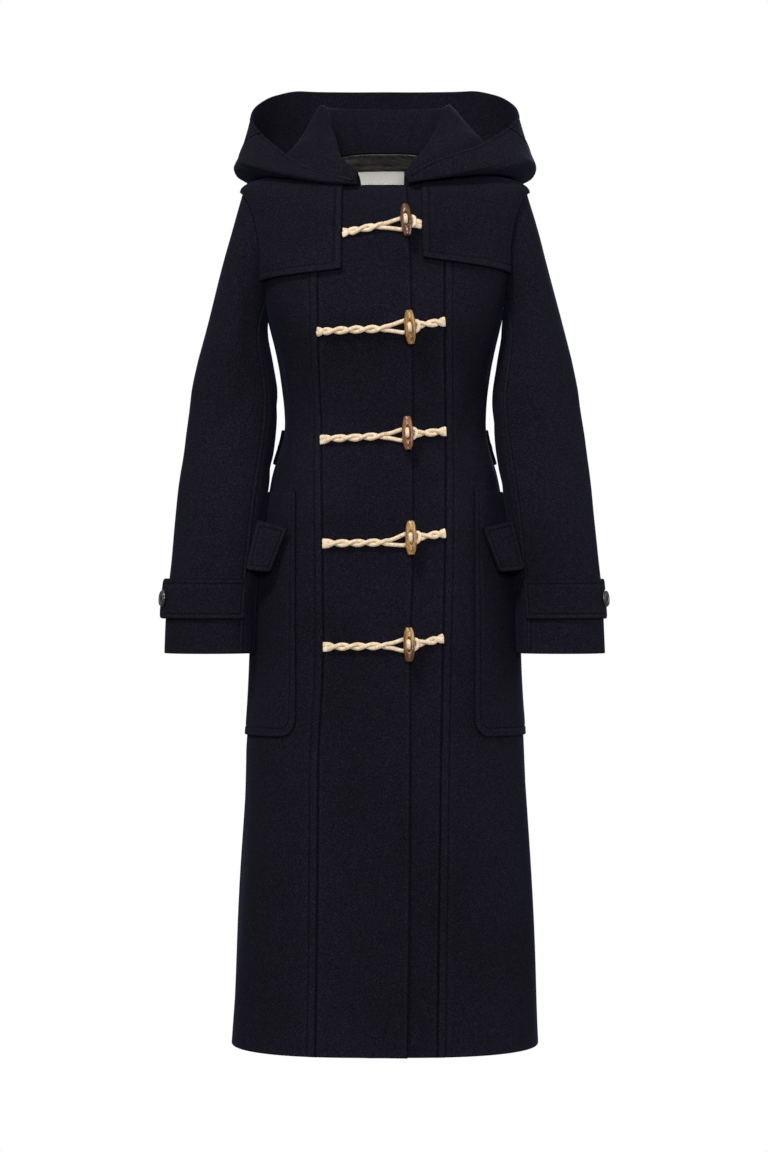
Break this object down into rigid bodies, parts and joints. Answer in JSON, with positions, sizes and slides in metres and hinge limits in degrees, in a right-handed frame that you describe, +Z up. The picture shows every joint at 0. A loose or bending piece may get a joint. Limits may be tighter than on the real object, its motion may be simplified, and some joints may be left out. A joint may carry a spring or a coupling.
{
  "type": "duffle coat",
  "caption": "Long hooded duffle coat of dark wool with cord-and-toggle fastenings, storm flaps, patch pockets, cuff straps and a half belt, standing filled out.",
  "frame": {"origin": "middle of the neck opening at the nape seam, where the wearer's shoulders carry the coat", "axes": "+Z up, the wearer faces -Y, +X is the wearer's left"},
  "size_m": [0.6183, 0.3244, 1.3151],
  "materials": {
    "wool": "napped heavy wool, near-black navy",
    "cord": "twisted cream cord",
    "toggle_dark_brown": "polished horn, dark brown",
    "toggle_golden": "polished horn, golden brown",
    "toggle_red_brown": "polished horn, reddish brown",
    "toggle_light_tan": "polished horn, light tan",
    "toggle_tan_to_dark": "polished horn, tan above and dark brown below",
    "button": "satin dark grey",
    "label": "plain off-white woven tape",
    "lining": "dark printed lining, slightly shiny"
  },
  "bodies": {
    "root": {"back_left": "wool", "back_right": "wool", "belt_button_left": "button", "belt_button_right": "button", "cuff_button_left": "button", "cuff_button_right": "button", "cuff_strap_left": "wool", "cuff_strap_right": "wool", "front_left_center": "wool", "front_left_side": "wool", "front_right_center": "wool", "front_right_side": "wool", "half_belt": "wool", "hood_center": "wool", "hood_left": "wool", "hood_right": "wool", "loop_cord_1": "cord", "loop_cord_2": "cord", "loop_cord_3": "cord", "loop_cord_4": "cord", "loop_cord_5": "cord", "neck_label": "label", "neck_lining": "lining", "pocket_flap_left": "wool", "pocket_flap_right": "wool", "pocket_left": "wool", "pocket_right": "wool", "sleeve_left_top": "wool", "sleeve_left_under": "wool", "sleeve_right_top": "wool", "sleeve_right_under": "wool", "storm_flap_left": "wool", "storm_flap_right": "wool", "toggle_1": "toggle_dark_brown", "toggle_2": "toggle_golden", "toggle_3": "toggle_red_brown", "toggle_4": "toggle_light_tan", "toggle_5": "toggle_tan_to_dark", "toggle_cord_1": "cord", "toggle_cord_2": "cord", "toggle_cord_3": "cord", "toggle_cord_4": "cord", "toggle_cord_5": "cord"}
  },
  "joints": []
}
